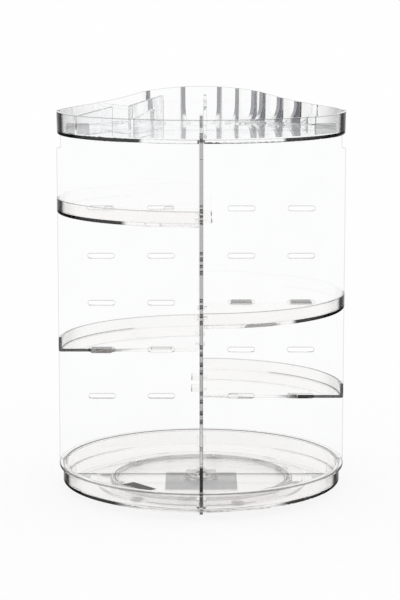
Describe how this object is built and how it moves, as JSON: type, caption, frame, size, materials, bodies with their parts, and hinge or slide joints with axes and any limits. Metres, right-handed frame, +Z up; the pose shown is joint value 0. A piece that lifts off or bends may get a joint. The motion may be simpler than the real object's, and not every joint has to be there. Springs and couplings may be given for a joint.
{
  "type": "rotating makeup organizer",
  "caption": "Clear round cosmetics carousel: ball-bearing turntable, crossed slotted panels with hooked quarter shelves, and a divided top tray with a raised back.",
  "frame": {"origin": "on the table, under the spin axis, at the middle of the feet", "axes": "+Z up along the spin axis; -Y towards the viewer of the picture; the panels lie in the XZ and YZ planes"},
  "size_m": [0.23, 0.23, 0.3181],
  "materials": {
    "clear_plastic": "gloss",
    "clear_silicone": "satin",
    "grey_plastic": "satin",
    "ball_steel": "polished",
    "plated_steel": "satin",
    "dark_sticker": "matte",
    "grey_sticker": "matte"
  },
  "bodies": {
    "base": {"base_plate": "clear_plastic", "base_label": "grey_sticker", "base_foot_1": "clear_silicone", "base_foot_2": "clear_silicone", "base_foot_3": "clear_silicone", "base_foot_4": "clear_silicone", "base_foot_5": "clear_silicone", "base_foot_6": "clear_silicone"},
    "carousel": {"bottom_tray": "clear_plastic", "tray_label": "dark_sticker", "panel_wide": "clear_plastic", "panel_deep": "clear_plastic", "pivot_washer": "plated_steel", "pivot_screw": "plated_steel"},
    "cage": {"ball_cage": "grey_plastic"},
    "top": {"top_tray": "clear_plastic"},
    "ball_1": {"bearing_ball_1": "ball_steel"},
    "ball_2": {"bearing_ball_2": "ball_steel"},
    "ball_3": {"bearing_ball_3": "ball_steel"},
    "ball_4": {"bearing_ball_4": "ball_steel"},
    "ball_5": {"bearing_ball_5": "ball_steel"},
    "ball_6": {"bearing_ball_6": "ball_steel"},
    "rear_right_shelf": {"shelf_rear_right": "clear_plastic"},
    "rear_left_shelf": {"shelf_rear_left": "clear_plastic"},
    "front_left_shelf": {"shelf_front_left": "clear_plastic"},
    "front_right_shelf": {"shelf_front_right": "clear_plastic"}
  },
  "joints": [
    {"name": "carousel_spin", "type": "hinge", "parent": "base", "child": "carousel", "pos_m": [0, 0, 0.005], "axis": [0, 0, 1], "continuous": true},
    {"name": "cage_spin", "type": "hinge", "parent": "base", "child": "cage", "pos_m": [0, 0, 0.0045], "axis": [0, 0, 1], "continuous": true},
    {"name": "top_tray_lift", "type": "slide", "parent": "carousel", "child": "top", "axis": [0, 0, 1], "range_m": [0, 0.05]},
    {"name": "ball_1_roll", "type": "hinge", "parent": "cage", "child": "ball_1", "pos_m": [0.06628, 0.02544, 0.0045], "axis": [0.9336, 0.3584, 0], "continuous": true},
    {"name": "ball_2_roll", "type": "hinge", "parent": "cage", "child": "ball_2", "pos_m": [0.01111, 0.07013, 0.0045], "axis": [0.1564, 0.9877, 0], "continuous": true},
    {"name": "ball_3_roll", "type": "hinge", "parent": "cage", "child": "ball_3", "pos_m": [-0.05518, 0.04468, 0.0045], "axis": [-0.7771, 0.6293, 0], "continuous": true},
    {"name": "ball_4_roll", "type": "hinge", "parent": "cage", "child": "ball_4", "pos_m": [-0.06628, -0.02544, 0.0045], "axis": [-0.9336, -0.3584, 0], "continuous": true},
    {"name": "ball_5_roll", "type": "hinge", "parent": "cage", "child": "ball_5", "pos_m": [-0.01111, -0.07013, 0.0045], "axis": [-0.1564, -0.9877, 0], "continuous": true},
    {"name": "ball_6_roll", "type": "hinge", "parent": "cage", "child": "ball_6", "pos_m": [0.05518, -0.04468, 0.0045], "axis": [0.7771, -0.6293, 0], "continuous": true},
    {"name": "rear_right_shelf_pull", "type": "slide", "parent": "carousel", "child": "rear_right_shelf", "axis": [0.9578, 0.2873, 0], "range_m": [0, 0.125]},
    {"name": "rear_left_shelf_pull", "type": "slide", "parent": "carousel", "child": "rear_left_shelf", "axis": [-0.2873, 0.9578, 0], "range_m": [0, 0.125]},
    {"name": "front_left_shelf_pull", "type": "slide", "parent": "carousel", "child": "front_left_shelf", "axis": [-0.9578, -0.2873, 0], "range_m": [0, 0.125]},
    {"name": "front_right_shelf_pull", "type": "slide", "parent": "carousel", "child": "front_right_shelf", "axis": [0.2873, -0.9578, 0], "range_m": [0, 0.125]}
  ],
  "couplings": [
    {"joint": "cage_spin", "follows": "carousel_spin", "ratio": 0.5},
    {"joint": "ball_1_roll", "follows": "carousel_spin", "ratio": -14.2},
    {"joint": "ball_2_roll", "follows": "carousel_spin", "ratio": -14.2},
    {"joint": "ball_3_roll", "follows": "carousel_spin", "ratio": -14.2},
    {"joint": "ball_4_roll", "follows": "carousel_spin", "ratio": -14.2},
    {"joint": "ball_5_roll", "follows": "carousel_spin", "ratio": -14.2},
    {"joint": "ball_6_roll", "follows": "carousel_spin", "ratio": -14.2}
  ]
}
